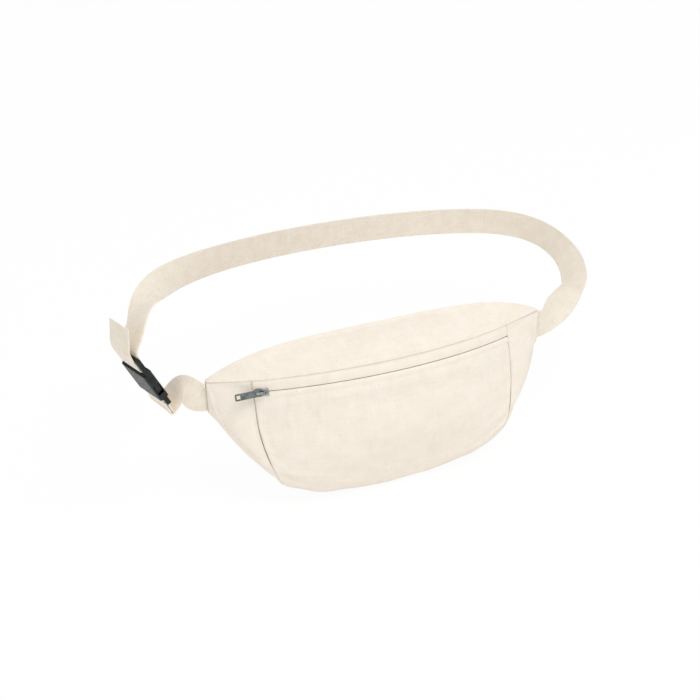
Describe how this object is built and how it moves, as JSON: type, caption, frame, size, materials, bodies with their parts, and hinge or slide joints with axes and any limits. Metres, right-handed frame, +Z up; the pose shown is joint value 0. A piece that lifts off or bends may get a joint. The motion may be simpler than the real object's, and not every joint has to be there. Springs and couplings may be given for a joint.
{
  "type": "waist pouch",
  "caption": "Soft canvas waist pouch with a curved zipped mouth, tapered tips, a flat webbing belt and a side-release buckle.",
  "frame": {"origin": "centre of the flat outer face of the back panel, which rests on the wearer's waist", "axes": "+Z up, +Y out of the back panel towards the wearer, +X from the buckle tip to the plain tip"},
  "size_m": [0.5286, 0.301, 0.2136],
  "materials": {
    "canvas": "matte",
    "webbing": "matte",
    "zip_tape": "matte",
    "zip_coil": "satin",
    "zip_metal": "satin",
    "buckle": "matte",
    "thread": "matte"
  },
  "bodies": {
    "pouch": {"front_panel": "canvas", "side_panel_right": "canvas", "side_panel_left": "canvas", "back_panel": "canvas", "zip_tape_lower": "zip_tape", "zip_coil_lower": "zip_coil", "buckle_male": "buckle", "belt_web": "webbing"},
    "mouth": {"top_panel": "canvas", "zip_placket": "canvas", "zip_tape_upper": "zip_tape", "zip_coil_upper": "zip_coil"},
    "slider": {"zip_slider": "zip_metal"},
    "pull": {"zip_pull": "zip_metal"},
    "female": {"buckle_female": "buckle", "short_web": "webbing", "short_web_tack": "thread"},
    "prong_front": {"prong_front": "buckle"},
    "prong_rear": {"prong_rear": "buckle"}
  },
  "joints": [
    {"name": "zip_run", "type": "hinge", "parent": "pouch", "child": "slider", "pos_m": [0, 0.17566, -0.03378], "axis": [0, 0.328, 0.9447], "range_deg": [0, 60.64]},
    {"name": "mouth_open", "type": "hinge", "parent": "pouch", "child": "mouth", "pos_m": [0, 0, 0.0705], "axis": [-1, 0, 0], "range_deg": [0, 28], "deforming": ["zip_placket", "zip_tape_upper", "zip_coil_upper"]},
    {"name": "pull_flip", "type": "hinge", "parent": "slider", "child": "pull", "pos_m": [-0.1256, -0.02721, 0.03666], "axis": [0, 0.328, 0.9447], "range_deg": [-12, 124]},
    {"name": "buckle_release", "type": "slide", "parent": "pouch", "child": "female", "axis": [0.4093, 0.1571, -0.8988], "range_m": [0, 0.025], "deforming": ["short_web", "short_web_tack", "prong_front", "prong_rear"]},
    {"name": "prong_front_flex", "type": "hinge", "parent": "pouch", "child": "prong_front", "pos_m": [-0.22552, -0.01677, 0.07083], "axis": [0.8391, 0.3221, 0.4384], "range_deg": [0, 12], "stiffness_Nm_per_rad": 0.6},
    {"name": "prong_rear_flex", "type": "hinge", "parent": "pouch", "child": "prong_rear", "pos_m": [-0.23656, 0.01199, 0.07083], "axis": [-0.8391, -0.3221, -0.4384], "range_deg": [0, 12], "stiffness_Nm_per_rad": 0.6}
  ],
  "couplings": [
    {"joint": "mouth_open", "follows": "zip_run", "ratio": 0.46125}
  ]
}
